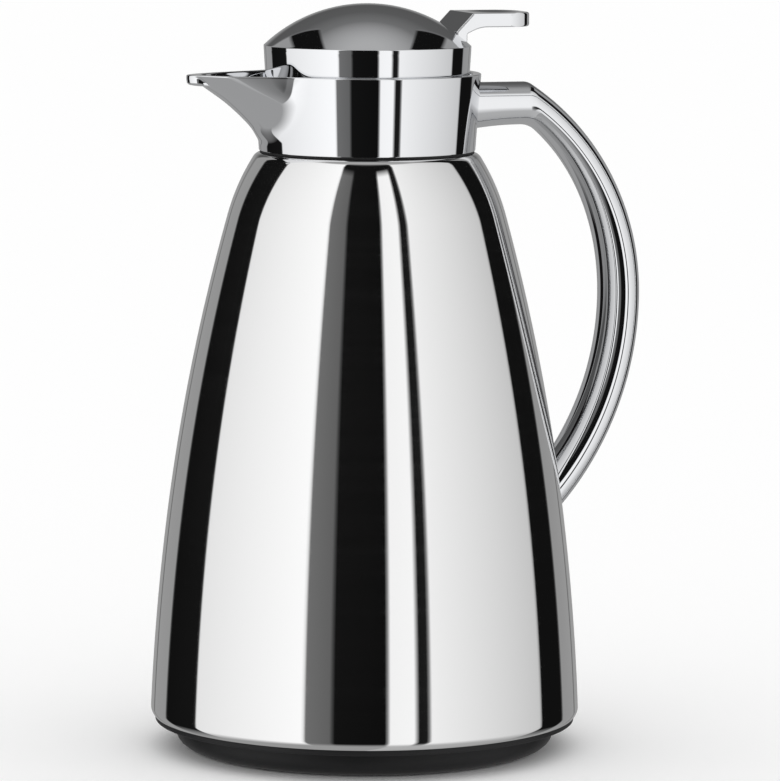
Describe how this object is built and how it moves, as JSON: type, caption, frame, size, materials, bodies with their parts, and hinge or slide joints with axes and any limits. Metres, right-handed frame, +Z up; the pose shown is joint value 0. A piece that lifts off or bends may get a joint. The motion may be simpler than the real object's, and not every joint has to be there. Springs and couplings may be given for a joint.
{
  "type": "thermal carafe",
  "caption": "Conical polished steel vacuum jug with a beaked chrome collar, C handle and a domed screw lid whose thumb lever lifts a pouring valve.",
  "frame": {"origin": "on the table under the middle of the base, on the foot pad's underside", "axes": "+Z up along the body's axis, +X towards the handle, -X towards the spout"},
  "size_m": [0.1765, 0.15, 0.26],
  "materials": {
    "polished_steel": "mirror polished stainless steel",
    "chrome_plate": "bright chrome plating on ABS",
    "black_plastic": "fine moulded matte",
    "silicone": "soft matte",
    "rubber": "matte",
    "silvered_glass": "silvered vacuum glass",
    "fastener_steel": "plain drawn steel"
  },
  "bodies": {
    "carafe": {"body_shell": "polished_steel", "base_cap": "black_plastic", "foot_pad": "rubber", "liner_cushion": "rubber", "outer_flask": "silvered_glass", "inner_flask": "silvered_glass", "flask_neck_seal": "silicone", "neck_insert": "black_plastic", "shoulder_gasket": "silicone", "spout_collar": "chrome_plate", "handle_outer": "chrome_plate", "handle_inner": "chrome_plate", "handle_screw": "fastener_steel", "handle_anchor": "black_plastic", "anchor_screws": "fastener_steel", "anchor_plate": "fastener_steel"},
    "stopper_seal": {"stopper_gasket": "silicone"},
    "lid": {"lid_shell": "chrome_plate", "lid_screws": "fastener_steel", "stopper_body": "black_plastic", "lever_pin": "fastener_steel", "valve_spring": "fastener_steel"},
    "lever": {"lever": "chrome_plate"},
    "valve": {"valve_stem": "black_plastic", "valve_seal": "silicone", "stem_clip": "fastener_steel"}
  },
  "joints": [
    {"name": "lid_lift", "type": "slide", "parent": "carafe", "child": "stopper_seal", "axis": [0, 0, 1], "range_m": [0, 0.045]},
    {"name": "lid_turn", "type": "hinge", "parent": "stopper_seal", "child": "lid", "pos_m": [0, 0, 0.2125], "axis": [0, 0, 1], "range_deg": [0, 450.5]},
    {"name": "lever_press", "type": "hinge", "parent": "lid", "child": "lever", "pos_m": [0.029, 0, 0.24155], "axis": [0, 1, 0], "range_deg": [0, 11.5]},
    {"name": "valve_lift", "type": "slide", "parent": "lid", "child": "valve", "axis": [0, 0, 1], "range_m": [0, 0.00556], "stiffness_N_per_m": 40, "springref_m": -0.006, "deforming": ["valve_spring"]}
  ],
  "couplings": [
    {"joint": "lid_turn", "follows": "lid_lift", "rad_per_m": 174.53},
    {"joint": "lever_press", "follows": "valve_lift", "rad_per_m": 34.483}
  ]
}
